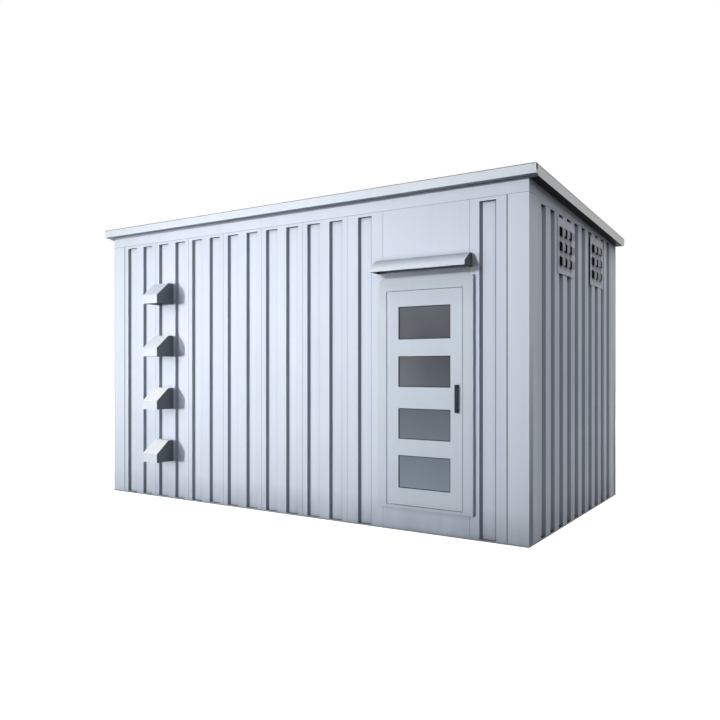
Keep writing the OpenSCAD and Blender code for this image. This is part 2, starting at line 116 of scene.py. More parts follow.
VENT_HOODS = [f"vent_hood_{i}" for i in range(1, 5)]
VENT_PLATES = ("side_vent_front", "side_vent_rear")
PANES = [f"door_pane_{i}" for i in range(1, 5)]


def span(node):
    """The low and high corners of a node's box."""
    low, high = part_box(node)
    return Vector(low), Vector(high)


# ---------------------------------------------------------------- materials

class Shader:
    """A node tree with short calls for the nodes that the finishes share."""

    def __init__(self, name):
        self.material = bpy.data.materials.new(name)
        self.material.use_nodes = True
        self.tree = self.material.node_tree
        self.bsdf = self.tree.nodes["Principled BSDF"]
        self.place = self.node("ShaderNodeTexCoord").outputs["Object"]

    def node(self, kind, **settings):
        made = self.tree.nodes.new(kind)
        for key, value in settings.items():
            setattr(made, key, value)
        return made

    def link(self, source, target):
        self.tree.links.new(source, target)

    def feed(self, target, value):
        """Links a socket, or sets a plain value."""
        if isinstance(value, bpy.types.NodeSocket):
            self.link(value, target)
        else:
            target.default_value = value

    def stretch(self, scale):
        """The object's own place, scaled along its axes."""
        mapping = self.node("ShaderNodeMapping")
        self.link(self.place, mapping.inputs["Vector"])
        mapping.inputs["Scale"].default_value = scale
        return mapping.outputs["Vector"]

    def noise(self, scale, detail=3.0, vector=None):
        made = self.node("ShaderNodeTexNoise")
        self.link(vector or self.place, made.inputs["Vector"])
        made.inputs["Scale"].default_value = scale
        made.inputs["Detail"].default_value = detail
        made.inputs["Roughness"].default_value = 0.55
        return made.outputs["Fac"]

    def ramp(self, value, low, high, to_low=0.0, to_high=1.0):
        """A value between low and high, carried over to between to_low and to_high."""
        made = self.node("ShaderNodeMapRange")
        self.feed(made.inputs["Value"], value)
        made.inputs["From Min"].default_value = low
        made.inputs["From Max"].default_value = high
        self.feed(made.inputs["To Min"], to_low)
        self.feed(made.inputs["To Max"], to_high)
        return made.outputs["Result"]

    def mottle(self, scale, low, high, detail=3.0, vector=None):
        """Soft noise between two values."""
        return self.ramp(self.noise(scale, detail, vector), *NOISE_SPREAD, low, high)

    def math(self, operation, first, second=0.0):
        made = self.node("ShaderNodeMath", operation=operation)
        self.feed(made.inputs[0], first)
        self.feed(made.inputs[1], second)
        return made.outputs["Value"]

    def product(self, first, *others):
        for other in others:
            first = self.math("MULTIPLY", first, other)
        return first

    def size(self, value):
        return self.math("ABSOLUTE", value)

    def mix(self, factor, first, second):
        """One colour blended into another."""
        made = self.node("ShaderNodeMix", data_type="RGBA")
        self.feed(made.inputs["Factor"], factor)
        for name, value in (("A", first), ("B", second)):
            if not isinstance(value, bpy.types.NodeSocket):
                value = (*value, 1.0)
            self.feed([s for s in made.inputs if s.name == name and s.type == "RGBA"][0], value)
        return [s for s in made.outputs if s.type == "RGBA"][0]

    def shade(self, colour, amount):
        """The colour times a number that varies over the surface."""
        made = self.node("ShaderNodeVectorMath", operation="SCALE")
        self.feed(made.inputs[0], colour)
        self.feed(made.inputs["Scale"], amount)
        return made.outputs["Vector"]

    def bump(self, height, depth, strength=1.0, under=None):
        made = self.node("ShaderNodeBump")
        made.inputs["Strength"].default_value = strength
        made.inputs["Distance"].default_value = depth
        self.link(height, made.inputs["Height"])
        if under is not None:
            self.link(under, made.inputs["Normal"])
        return made.outputs["Normal"]

    def axes(self, vector):
        split = self.node("ShaderNodeSeparateXYZ")
        self.link(vector, split.inputs["Vector"])
        return split.outputs["X"], split.outputs["Y"], split.outputs["Z"]

    def height(self):
        """Height above the ground, in metres."""
        return self.axes(self.place)[2]

    def blocks(self, *tests):
        """1 where every (value, low, high) test holds, and 0 elsewhere."""
        return self.product(*(
            self.product(self.math("GREATER_THAN", value, low), self.math("LESS_THAN", value, high))
            for value, low, high in tests))

    def facing(self):
        """The direction that the surface looks in, without its rounding, as three numbers."""
        return self.axes(self.node("ShaderNodeNewGeometry").outputs["True Normal"])

    def underside(self, elsewhere, below):
        """One value on the faces that look down, and another on the rest."""
        _, _, up = self.facing()
        return self.ramp(up, *DOWNWARD, below, elsewhere)

    def sideways(self, most=1.0):
        """A value on the faces that look along the front, and 0 on the rest."""
        east, _, _ = self.facing()
        return self.ramp(self.size(east), *SIDEWAYS, 0.0, most)

    def finish(self, **sockets):
        for name, value in sockets.items():
            self.feed(self.bsdf.inputs[name.replace("_", " ")], value)
        return self.material


def ground_dust_and_shade(shader, colour, reach, amount, foot_shade_top=0.30, full_foot_shade_from=-1.0):
    """Dust with painted shade that fades with height, and painted shade at the foot, both darker
    towards the right.
    """
    east, _, height = shader.axes(shader.place)
    left, right = span("wall_left")[0].x, span("wall_right")[1].x
    fade = shader.math("POWER", shader.ramp(height, 0.0, reach, 1.0, 0.0), 2.0)
    patchy = shader.mottle(5.0, 0.65, 1.0, vector=shader.stretch((1.0, 1.0, 0.4)))
    toward_right = shader.ramp(east, left, right, amount * 0.1, amount * 1.5)
    darkened = shader.mix(shader.product(fade, patchy, toward_right), colour, DUST_AND_SHADE)
    thick = shader.ramp(east, left, full_foot_shade_from, 0.25, 0.46)
    foot_shade = shader.ramp(height, 0.0, foot_shade_top, thick, 0.0)
    return shader.mix(shader.product(foot_shade, patchy), darkened, GRIME_AND_SHADE)


def groove_flank_shade(shader, colour, side_walls=0.45, front_left=0.59, front_right=0.76):
    """Painted shade on the slanting flanks of the pressed grooves, found from their direction."""
    east, north, _ = shader.facing()
    slant = shader.size(shader.product(east, north))
    along, _, _ = shader.axes(shader.place)
    long_walls = shader.ramp(along, -0.8, 1.0, front_left, front_right)
    amount = shader.ramp(shader.size(east), 0.65, 0.75, side_walls, long_walls)
    return shader.mix(shader.product(shader.ramp(slant, 0.20, 0.40), amount), colour, GRIME_AND_SHADE)


def corner_shade(shader, colour, reach=0.06, darkest=0.60):
    """Painted shade from the occlusion node, in corners and under the edges that stand proud."""
    open_sky = shader.node("ShaderNodeAmbientOcclusion", samples=8)
    open_sky.inputs["Distance"].default_value = reach
    return shader.shade(colour, shader.ramp(open_sky.outputs["AO"], 0.35, 0.95, darkest, 1.0))


def slope_light_and_shade(shader, colour):
    """Slopes of the vent hoods: painted light on the low hoods, and painted shade on the high ones."""
    _, _, up = shader.facing()
    height = shader.height()
    lightened = shader.mix(shader.ramp(height, 1.3, 2.3, 1.0, 0.0), colour, SLOPE_LIGHT)
    darkened = shader.shade(lightened, shader.ramp(height, 1.5, 2.4, 1.0, 0.84))
    return shader.mix(shader.ramp(up, *SLOPING_UP), colour, darkened)


def shaded_undersides(shader, colour, shade, ends=0.0):
    """Painted shade on the faces that look down, and on end plates, which look sideways."""
    below = shader.underside(0.0, 1.0)
    return shader.mix(shader.math("MAXIMUM", below, shader.sideways(ends)), colour, shade)


def corner_side_shade(shader, colour, width=0.10, reach=1.8, on_left=0.35):
    """Painted shade on the side faces just behind the corners, darker towards the ground."""
    _, north, height = shader.axes(shader.place)
    east, _, _ = shader.facing()
    edge = span("corner_post_rear_right")[1].y
    inside = shader.math("SUBTRACT", edge, shader.size(north))
    band = shader.ramp(inside, width * 0.85, width * 1.1, 1.0, 0.0)
    sideways = shader.math("GREATER_THAN", shader.size(east), 0.9)
    by_side = shader.ramp(east, -0.95, 0.95, on_left, 1.0)
    low = shader.ramp(height, 0.2, reach, 1.0, 0.0)
    return shader.mix(shader.product(band, sideways, by_side, low), colour, GRIME_AND_SHADE)


def groove_foot_shade(shader, colour):
    """Painted shade, near black, on the rail where the grooves run out on it."""
    _, _, up = shader.facing()
    return shader.mix(shader.ramp(up, *LEVEL), colour, SHADE_BLACK)


def lit_sides(shader, colour, shade):
    """Painted light: a lighter, neutral tone on the faces that look sideways."""
    return shader.mix(shader.sideways(), colour, shade)


def shadow_under_hood(shader, colour, node, deep, shade):
    """Painted shadow of the hood: darker towards the top of the node."""
    top = span(node)[1].z
    return shader.shade(colour, shader.ramp(shader.height(), top - deep, top, 1.0, shade))


def louvre_shade(shader, colour, face, inside, field_shaded=0.72):
    """Painted shade on the louvre tongues, which stand out from their plate, and soft painted shade
    round them.
    """
    out, north, height = shader.axes(shader.place)
    east, _, _ = shader.facing()
    tongue_from = span("wall_right")[1].x + 8 * MM
    tongue = shader.math("GREATER_THAN", out, tongue_from)
    tongue_shade = shader.ramp(east, 0.20, 0.60, inside, face)
    field_shade = 0.0
    for node in VENT_PLATES:
        middle = (span(node)[0] + span(node)[1]) / 2
        away = [shader.size(shader.math("SUBTRACT", value, centre))
                for value, centre in ((north, middle.y), (height, middle.z))]
        spread = shader.product(*(shader.ramp(value, 0.15, 0.24, 1.0, 0.0) for value in away))
        field_shade = shader.math("MAXIMUM", field_shade, spread)
    plate = shader.ramp(field_shade, 0.0, 1.0, 1.0, field_shaded)
    return shader.shade(colour, shader.ramp(tongue, 0.0, 1.0, plate, tongue_shade))


def slope_shade(shader, colour, node, lip=0.03):
    """Painted shade on a hood that deepens from its lip to its top."""
    low, high = span(node)
    return shader.shade(colour, shader.ramp(shader.height(), low.z + lip, high.z, 1.02, 0.40))


def lining(shader, colour, joint=1.5 * MM):
    """Warm grey lining sheets with fine joints inside the room, in place of the outer paint."""
    east, north, up = shader.axes(shader.place)
    _, _, skyward = shader.facing()
    half_length, half_width = (abs(c) + 1.0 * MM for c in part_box("floor_deck")[0][:2])
    not_roof_top = (skyward, -2.0, 0.5)
    room = shader.blocks((east, -half_length, half_length), (north, -half_width, half_width),
                         not_roof_top)
    joints = 0.0
    for value, sheet_size in ((east, 1.2), (north, 0.9), (up, 1.45)):
        across = shader.math("PINGPONG", value, sheet_size / 2)
        joints = shader.math("MAXIMUM", joints, shader.math("LESS_THAN", across, joint))
    return shader.mix(room, colour, shader.mix(joints, LINING_PAINT, LINING_JOINT))


def painted_steel(name, colour, roughness=0.50, ground_dust_shade=0.35, reach=0.9, wave=1.2 * MM,
                  layers=(), darkest=0.60):
    """Satin paint on folded steel sheet: faint orange peel, slow waves, rain streaks, dust and painted
    shade near the ground, layers that add painted light and shade and the room's lining, and painted
    shade in corners.
    """
    s = Shader(name)
    streaks = s.mottle(7.0, 0.975, 1.015, vector=s.stretch((1.0, 1.0, 0.06)))
    clouds = s.mottle(0.9, 0.985, 1.015, detail=2.0)
    paint = s.shade(colour, s.product(streaks, clouds))
    if ground_dust_shade:
        paint = ground_dust_and_shade(s, paint, reach, ground_dust_shade)
    for step, settings in layers:
        paint = step(s, paint, **settings)
    # Painted shade in corners and under the edges that stand proud
    paint = corner_shade(s, paint, darkest=darkest)
    waves = s.bump(s.noise(1.7, detail=1.0, vector=s.stretch((1.0, 1.0, 0.5))), wave, 0.8)
    peel = s.bump(s.noise(420.0, detail=2.0), 0.12 * MM, 0.35, under=waves)
    return s.finish(Base_Color=paint, Normal=peel,
                    Roughness=s.mottle(2.6, roughness - 0.04, roughness + 0.05),
                    Specular_IOR_Level=s.underside(0.25, 0.04))


def tread_paint(name, colour, pitch=9.0):
    """Hard-wearing floor paint over a raised lozenge tread."""
    s = Shader(name)
    waves = []
    for vector in (s.place, s.stretch((-1.0, 1.0, 1.0))):
        wave = s.node("ShaderNodeTexWave", wave_type="BANDS", bands_direction="DIAGONAL")
        s.link(vector, wave.inputs["Vector"])
        wave.inputs["Scale"].default_value = pitch
        waves.append(wave.outputs["Fac"])
    studs = s.ramp(s.product(*waves), 0.55, 0.80)
    dull, rubbed = 0.92, 1.08
    scuffs = s.ramp(s.noise(6.0, detail=5.0), 0.35, 0.65, dull, rubbed)
    paint = s.shade(s.shade(colour, scuffs), s.ramp(studs, 0.0, 1.0, 1.0, 1.25))
    grain = s.bump(s.noise(300.0), 0.15 * MM, 0.5)
    return s.finish(Base_Color=paint, Roughness=s.ramp(scuffs, dull, rubbed, 0.68, 0.56),
                    Normal=s.bump(studs, 1.5 * MM, 1.0, under=grain))


def armoured_glass(name, lighter_below=1.60, lightest_at=0.35, film_most=0.03):
    """Thick tinted laminate, nearly opaque, with a patchy film of dust and a painted reflection that
    lightens it towards the ground.
    """
    s = Shader(name)
    film = s.ramp(s.noise(3.0, detail=4.0), 0.30, 0.75, 0.0, film_most)
    low = s.math("POWER", s.ramp(s.height(), lightest_at, lighter_below, 1.0, 0.0), 1.3)
    body = s.mix(s.math("ADD", film, s.product(low, 0.9)), GLASS_TINT, GLASS_REFLECTION_AND_DUST)
    ripple = s.bump(s.noise(4.0, detail=1.0), 0.3 * MM, 0.4)
    return s.finish(Base_Color=body, Roughness=s.ramp(film, 0.0, film_most, 0.12, 0.22),
                    Normal=ripple, Specular_IOR_Level=0.30)


def rubber(name, dark, bloomed):
    """Weather-seal rubber with a slight bloom."""
    s = Shader(name)
    bloom = s.ramp(s.noise(30.0, detail=4.0), 0.35, 0.70)
    grain = s.bump(s.noise(900.0), 0.1 * MM, 0.4)
    return s.finish(Base_Color=s.mix(bloom, dark, bloomed), Specular_IOR_Level=0.2,
                    Roughness=s.ramp(bloom, 0.0, 1.0, 0.62, 0.78), Normal=grain)


def satin_black(name):
    """Dark powder coat with a fine grain, for the pull handle."""
    s = Shader(name)
    rubbed = s.ramp(s.noise(40.0), 0.40, 0.75)
    grain = s.bump(s.noise(1100.0), 0.08 * MM, 0.5)
    return s.finish(Base_Color=s.mix(rubbed, HANDLE_BLACK, HANDLE_WORN), Specular_IOR_Level=0.15,
                    Roughness=s.ramp(rubbed, 0.0, 1.0, 0.62, 0.50), Normal=grain)


def bare_steel(name, colour=(0.50, 0.51, 0.53), brush=(1.0, 1.0, 40.0)):
    """Zinc-bright steel with drawn scratches."""
    s = Shader(name)
    lines = s.noise(60.0, detail=4.0, vector=s.stretch(brush))
    return s.finish(Base_Color=s.shade(colour, s.ramp(lines, *NOISE_SPREAD, 0.85, 1.10)),
                    Roughness=s.ramp(lines, *NOISE_SPREAD, 0.28, 0.45),
                    Normal=s.bump(lines, 0.05 * MM, 0.5), Metallic=1.0)


def sealant(name, dark, pale):
    """Joint sealant, smoothed by hand."""
    s = Shader(name)
    lumps = s.noise(60.0)
    return s.finish(Base_Color=s.mix(s.ramp(lumps, *NOISE_SPREAD), dark, pale),
                    Roughness=0.55, Normal=s.bump(lumps, 0.8 * MM, 0.6))


# Painted light and shade, and the room's lining, laid over the paint as (function, settings) steps
# Painted light on the side faces
LIT_SIDES = (lit_sides, {"shade": TRIM_SIDE_LIGHT})
LINING = (lining, {})
# Painted shade under things and on the hood end plates
SHADED_BELOW = (shaded_undersides, {"shade": SHADE_BLACK})
SHADED_ENDS = (shaded_undersides, {"shade": SHADE_DARK, "ends": 0.8})
SHADED_ENDS_BLACK = (shaded_undersides, {"shade": SHADE_BLACK, "ends": 0.84})
HOOD_COAT = {"roughness": 0.42, "ground_dust_shade": 0.0, "wave": 0.4 * MM}
TRIM_COAT = {"roughness": 0.42, "ground_dust_shade": 0.0, "wave": 0.6 * MM}

# Finish by material slot
FINISH = {
    "cladding": painted_steel("cladding_paint", WALL_PAINT,
                              layers=[(groove_flank_shade, {}), SHADED_BELOW, LINING]),
    # Painted shade on the side faces by the corners
    "frame": painted_steel("frame_paint", FRAME_PAINT, wave=0.4 * MM, darkest=0.85,
                           layers=[(corner_side_shade, {}), LINING]),
    "trim": painted_steel("trim_paint", TRIM_PAINT, layers=[LIT_SIDES, SHADED_BELOW], **TRIM_COAT),
    "hood": painted_steel("hood_paint", HOOD_PAINT, layers=[SHADED_ENDS], **HOOD_COAT),
    # Painted shadow of the door hood on the top of the casing
    "door_paint": painted_steel(
        "door_paint", DOOR_PAINT, roughness=0.45, wave=0.6 * MM, darkest=0.92,
        layers=[(shadow_under_hood, {"node": "door_casing", "deep": 0.30, "shade": 0.88})]),
    "roof": painted_steel("roof_paint", ROOF_PAINT, roughness=0.55, ground_dust_shade=0.0, layers=[LINING]),
    # Painted shade at the foot of the grooves
    "base": painted_steel("base_paint", WALL_PAINT, ground_dust_shade=0.5, layers=[(groove_foot_shade, {})]),
    # Painted shade on and round the louvres, and heavy painted shade in their corners
    "vent_plate": painted_steel("vent_plate_paint", WALL_PAINT, wave=0.3 * MM, darkest=0.12,
                                layers=[(louvre_shade, {"face": 0.46, "inside": 0.10})]),
    "floor": tread_paint("tread_paint", FLOOR_PAINT),
    "door_glass": armoured_glass("armoured_glass"),
    "handle": satin_black("satin_black"),
    "pivot": bare_steel("pivot_steel"),
}

# Finish of the nodes that differ from their slot
# Painted light and shade on the vent-hood slopes, and painted shade on their ends and undersides
VENT_HOOD = painted_steel("vent_hood_paint", HOOD_PAINT,
                          layers=[(slope_light_and_shade, {}), SHADED_ENDS], **HOOD_COAT)
# Painted shade on the door hood's slope, ends and underside
DOOR_HOOD = painted_steel("door_hood_paint", HOOD_PAINT,
                          layers=[(slope_shade, {"node": "door_hood"}), SHADED_ENDS_BLACK], **HOOD_COAT)
# Painted light on the side faces, and painted shade under the front eaves
FRONT_TRIM = painted_steel("front_trim_paint", TRIM_PAINT,
                           layers=[LIT_SIDES, (shaded_undersides, {"shade": SOFFIT_SHADE})], **TRIM_COAT)
OWN_FINISH = dict.fromkeys(VENT_HOODS, VENT_HOOD) | {"door_hood": DOOR_HOOD, "eaves_front": FRONT_TRIM}

# Finish of the small pieces that take none of the above
RUBBER = rubber("black_rubber", (0.022, 0.023, 0.026), (0.045, 0.047, 0.052))
GREY_RUBBER = rubber("grey_rubber", (0.40, 0.43, 0.48), (0.46, 0.49, 0.54))
ZINC = bare_steel("zinc_steel", (0.55, 0.56, 0.57), (1.0, 1.0, 1.0))
SEALANT = sealant("joint_sealant", (0.13, 0.15, 0.18), (0.17, 0.19, 0.22))
# Painted shadow of the front eaves
EAVES_SHADOW_GREY = sealant("eaves_shadow_strip", (0.28, 0.32, 0.37), (0.33, 0.38, 0.44))

# Rounding of the folded edges, in metres, by material slot
EDGE = {
    "cladding": 1.2 * MM, "frame": 2.5 * MM, "trim": 2.5 * MM, "hood": 1.0 * MM,
    "door_paint": 1.5 * MM, "roof": 2.0 * MM, "base": 1.5 * MM, "vent_plate": 0.6 * MM,
    "floor": 2.0 * MM, "door_glass": 0.8 * MM, "handle": 3.0 * MM, "pivot": 0.5 * MM,
}


def dress_nodes():
    """Gives every CAD node its finish and rounds its edges."""
    for part in frame["record"]["subparts"]:
        name, slot = part["node"], part["material_slot"]
        node = frame["nodes"][name]
        node.data.materials.clear()
        node.data.materials.append(OWN_FINISH.get(name, FINISH[slot]))
        flatten = node.modifiers.new("flat_faces", "DECIMATE")
        flatten.decimate_type = "DISSOLVE"
        flatten.angle_limit = math.radians(1.0)
        rounding = node.modifiers.new("rounded_edges", "BEVEL")
        rounding.width = EDGE[slot]
        rounding.segments = 2
        rounding.limit_method = "ANGLE"
        rounding.angle_limit = math.radians(25.0)
        rounding.harden_normals = True


# ---------------------------------------------------------------- small pieces

def add_bar(bm, start, stop, section, across, out):
    """A bar of one section from start to stop; section holds (across, out) places."""
    ends = [[bm.verts.new(end + across * a + out * o) for a, o in section] for end in (start, stop)]
    for i in range(len(section)):
        j = (i + 1) % len(section)
        bm.faces.new((ends[0][i], ends[0][j], ends[1][j], ends[1][i]))
    bm.faces.new(ends[0][::-1])
    bm.faces.new(ends[1])


def add_turned(bm, place, axis, outline, sides=12):
    """A turned shape on an axis; outline holds (radius, height) places, and its top closes flat."""
    turn = axis.to_track_quat("Z", "Y").to_matrix()
    rings = []
    for radius, height in outline:
        ring = []
        for i in range(sides):
            angle = math.tau * i / sides
            ring.append(bm.verts.new(place + turn @ Vector((
                radius * math.cos(angle), radius * math.sin(angle), height))))
        rings.append(ring)
    for low, high in zip(rings, rings[1:]):
        for i in range(sides):
            j = (i + 1) % sides
            bm.faces.new((low[i], low[j], high[j], high[i]))
    bm.faces.new(rings[0][::-1])
    bm.faces.new(rings[-1])


def add_frame(bm, low, high, face, section):
    """A rectangular frame on a face that looks along Y; section holds (inset, y from the face)."""
    loops = []
    for inset, depth in section:
        y = face + depth
        loops.append([bm.verts.new(place) for place in (
            (low.x + inset, y, low.z + inset), (high.x - inset, y, low.z + inset),
            (high.x - inset, y, high.z - inset), (low.x + inset, y, high.z - inset))])
    for first, second in zip(loops, loops[1:] + loops[:1]):
        for i in range(4):
            j = (i + 1) % 4
            bm.faces.new((first[i], first[j], second[j], second[i]))


def crowned(width, height, steps=6):
    """The section of a bead: a low arch that stands on its flat side."""
    turns = [math.pi * i / steps for i in range(steps + 1)]
    return [(-width / 2 * math.cos(t), height * math.sin(t)) for t in turns]


def folded(width, height, chamfer):
    """The section of a thin strip with its two outer corners taken off."""
    return [(-width / 2, 0.0), (-width / 2, height - chamfer), (chamfer - width / 2, height),
            (width / 2 - chamfer, height), (width / 2, height - chamfer), (width / 2, 0.0)]


def rod(radius, sides=6):
    """The section of a round wire."""
    turns = [math.tau * i / sides for i in range(sides)]
    return [(radius * math.cos(t), radius * math.sin(t)) for t in turns]


def piece(name, bm, finish, body=SHELTER):
    """Makes an object of the mesh, smooth over its soft edges, and hangs it on its body."""
    bmesh.ops.recalc_face_normals(bm, faces=bm.faces)
    mesh = bpy.data.meshes.new(name)
    bm.to_mesh(mesh)
    bm.free()
    mesh.materials.append(finish)
    mesh.shade_smooth()
    mesh.set_sharp_from_angle(angle=math.radians(45.0))
    made = bpy.data.objects.new(name, mesh)
    bpy.context.collection.objects.link(made)
    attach(made, body)


def joint_seals():
    """Dark sealant in the joints between posts, rails and wall panels."""
    front, rear = span("wall_front_left")[0].y, span("wall_rear")[1].y
    right, left = span("wall_right")[1].x, span("wall_left")[0].x
    sill = span("base_rail_front")[1].z
    head, rear_head = span("head_rail_front")[0].z, span("head_rail_rear")[0].z
    post_x = span("corner_post_front_right")[0].x
    post_y = span("corner_post_rear_right")[0].y
    bay_left, bay_right = span("wall_lintel")[0].x, span("wall_lintel")[1].x
    casing_low, casing_high = span("door_casing")
    panel = span("wall_door_left")[0].x
    wide, fine, proud, sunk = 13 * MM, 3 * MM, 1.0 * MM, 0.3 * MM
    bm = bmesh.new()

    def line(start, stop, out, width):
        start, stop = Vector(start), Vector(stop)
        across = (stop - start).normalized().cross(out)
        add_bar(bm, start - out * sunk, stop - out * sunk, crowned(width, proud), across, out)

    for side in (-1, 1):
        x = side * (post_x + wide / 2)
        line((x, front, sill), (x, front, head), -NORTH, wide)
        line((x, rear, sill), (x, rear, rear_head), NORTH, wide)
    line((panel, front, sill), (panel, front, head), -NORTH, fine)
    for x in (bay_left, bay_right):
        line((x, front, sill), (x, front, casing_low.z), -NORTH, fine)
        line((x, front, casing_high.z), (x, front, head), -NORTH, fine)
    line((left, front, head), (right, front, head), -NORTH, fine)
    line((left, rear, rear_head), (right, rear, rear_head), NORTH, fine)
    for x, out in ((left, -EAST), (right, EAST)):
        for y in (-post_y, post_y):
            line((x, y, sill), (x, y, rear_head), out, fine)
        line((x, front, head), (x, -post_y, head), out, fine)
        line((x, -post_y, rear_head), (x, rear, rear_head), out, fine)
    piece("joint_seals", bm, SEALANT)


def ground_shadow_strip():
    """A dark strip round the foot of the walls: a painted shadow where they meet the ground."""
    low, high = span("base_rail_left")[0], span("base_rail_right")[1]
    low.y, high.y = span("base_rail_front")[0].y, span("base_rail_rear")[1].y
    tall, proud = 8 * MM, 1.5 * MM
    section = folded(tall, proud, 0.5 * MM)
    bm = bmesh.new()
    for y, out in ((low.y, -NORTH), (high.y, NORTH)):
        add_bar(bm, Vector((low.x - proud, y, tall / 2)), Vector((high.x + proud, y, tall / 2)),
                section, UP, out)
    for x, out in ((low.x, -EAST), (high.x, EAST)):
        add_bar(bm, Vector((x, low.y, tall / 2)), Vector((x, high.y, tall / 2)), section, UP, out)
    piece("ground_shadow_strip", bm, SEALANT)


def eaves_shadow_strip():
    """A grey strip on the front head rail, just under the eaves: a painted shadow of the eaves."""
    low, high = span("head_rail_front")
    tall = 21 * MM
    middle = span("eaves_front")[0].z - tall / 2
    bm = bmesh.new()
    add_bar(bm, Vector((low.x, low.y, middle)), Vector((high.x, low.y, middle)),
            folded(tall, 2.5 * MM, 1.0 * MM), UP, -NORTH)
    piece("eaves_shadow_strip", bm, EAVES_SHADOW_GREY)


def roof_plane():
    """The deck's low and high corners, its fall for each metre, and its outward direction."""
    low, high = span("roof_deck")
    thickness = high.z - span("head_rail_front")[1].z
    fall = (high.z - (low.z + thickness)) / (high.y - low.y)
    return low, high, fall, Vector((0, fall, 1)).normalized()


def on_roof(x, y, sunk):
    """A place on the deck's top, a little sunk into it."""
    low, high, fall, _ = roof_plane()
    return Vector((x, y, high.z - (y - low.y) * fall - sunk))


def roof_ribs(count=17):
    """Low stiffening ribs that run down the roof's fall, and the flashing round the deck."""
    low, high, _, out = roof_plane()
    inset, edge, sunk = 60 * MM, 20 * MM, 0.4 * MM
    rib = [(-16 * MM, 0.0), (-9 * MM, 8.5 * MM), (9 * MM, 8.5 * MM), (16 * MM, 0.0)]
    flashing = folded(2 * edge, 2.2 * MM, 0.8 * MM)
    bm = bmesh.new()
    for i in range(count):
        x = low.x + (high.x - low.x) * (i + 0.5) / count
        add_bar(bm, on_roof(x, low.y + inset, sunk), on_roof(x, high.y - inset, sunk), rib, EAST, out)
    for x in (low.x + edge, high.x - edge):
        add_bar(bm, on_roof(x, low.y, sunk), on_roof(x, high.y, sunk), flashing, EAST, out)
    near = low.y + edge
    add_bar(bm, on_roof(low.x, near, sunk), on_roof(high.x, near, sunk), flashing, NORTH, out)
    piece("roof_ribs", bm, FINISH["roof"])


def roof_screws(count=17, rows=6):
    """Hexagon screws on sealing washers, between the roof ribs."""
    low, high, _, out = roof_plane()
    washer = [(9 * MM, 0.0), (9 * MM, 1.2 * MM), (5 * MM, 2.2 * MM)]
    head = [(4.6 * MM, 0.0), (4.6 * MM, 6.5 * MM), (3.8 * MM, 7.2 * MM)]
    bm = bmesh.new()
    for i in range(1, count):
        x = low.x + (high.x - low.x) * i / count
        for j in range(rows):
            foot = on_roof(x, low.y + (high.y - low.y) * (j + 0.5) / rows, 0.3 * MM)
            add_turned(bm, foot, out, washer)
            add_turned(bm, foot, out, head, sides=6)
    piece("roof_screws", bm, ZINC)


def roof_edge_line():
    """The thin dark edge of the roof covering, along the top of the front and side eaves."""
    low, high = span("eaves_front")
    fall = roof_plane()[2]
    rear = span("eaves_right")[1].y
    wide = 6 * MM
    top = high.z - 5 * MM
    bead = crowned(wide, 1.2 * MM)
    bm = bmesh.new()
    add_bar(bm, Vector((low.x + wide, low.y, top)), Vector((high.x - wide, low.y, top)),
            bead, UP, -NORTH)
    for x, out in ((low.x, -EAST), (high.x, EAST)):
        add_bar(bm, Vector((x, low.y + wide, top)),
                Vector((x, rear, top - (rear - low.y) * fall)), bead, UP, out)
    piece("roof_edge_line", bm, SEALANT)


def hood_joints():
    """Sealant where each hood meets the wall, and the folded hem inside its lower edge."""
    seal, hem = bmesh.new(), bmesh.new()
    bead = crowned(6 * MM, 3 * MM)
    fold = folded(12 * MM, 2 * MM, 0.7 * MM)
    sheet, hem_rise = 4 * MM, 6 * MM
    for name in ["door_hood"] + VENT_HOODS:
        low, high = span(name)
        wall, lip, foot = high.y, low.y + sheet, low.z + hem_rise
        for x, out in ((low.x, -EAST), (high.x, EAST)):
            add_bar(seal, Vector((x, wall, low.z)), Vector((x, wall, high.z)), bead, -NORTH, out)
            inner = x - out.x * sheet
            add_bar(hem, Vector((inner, lip, foot)), Vector((inner, wall, foot)), fold, UP, -out)
        add_bar(seal, Vector((low.x, wall, high.z)), Vector((high.x, wall, high.z)), bead, -NORTH, UP)
        add_bar(hem, Vector((low.x + sheet, lip, foot)), Vector((high.x - sheet, lip, foot)),
                fold, UP, NORTH)
    piece("hood_seals", seal, FINISH["hood"])
    piece("hood_hems", hem, FINISH["hood"])


def add_mesh_screen(bm, low, high, normal, pitch, radius):
    """Crossed wires over a rectangle that is flat along the normal axis, in a narrow edge strip."""
    edge = folded(12 * MM, 2 * MM, 0.6 * MM)
    flat = [axis for axis in (EAST, NORTH, UP) if abs(axis.dot(normal)) < 0.5]
    size = high - low
    for along, across in (flat, flat[::-1]):
        run, width = along * size.dot(along), size.dot(across)
        count = round(width / pitch)
        for i in range(1, count):
            start = low + across * (width * i / count)
            add_bar(bm, start, start + run, rod(radius), across, normal)
        for start in (low, low + across * width):
            add_bar(bm, start, start + run, edge, across, normal)


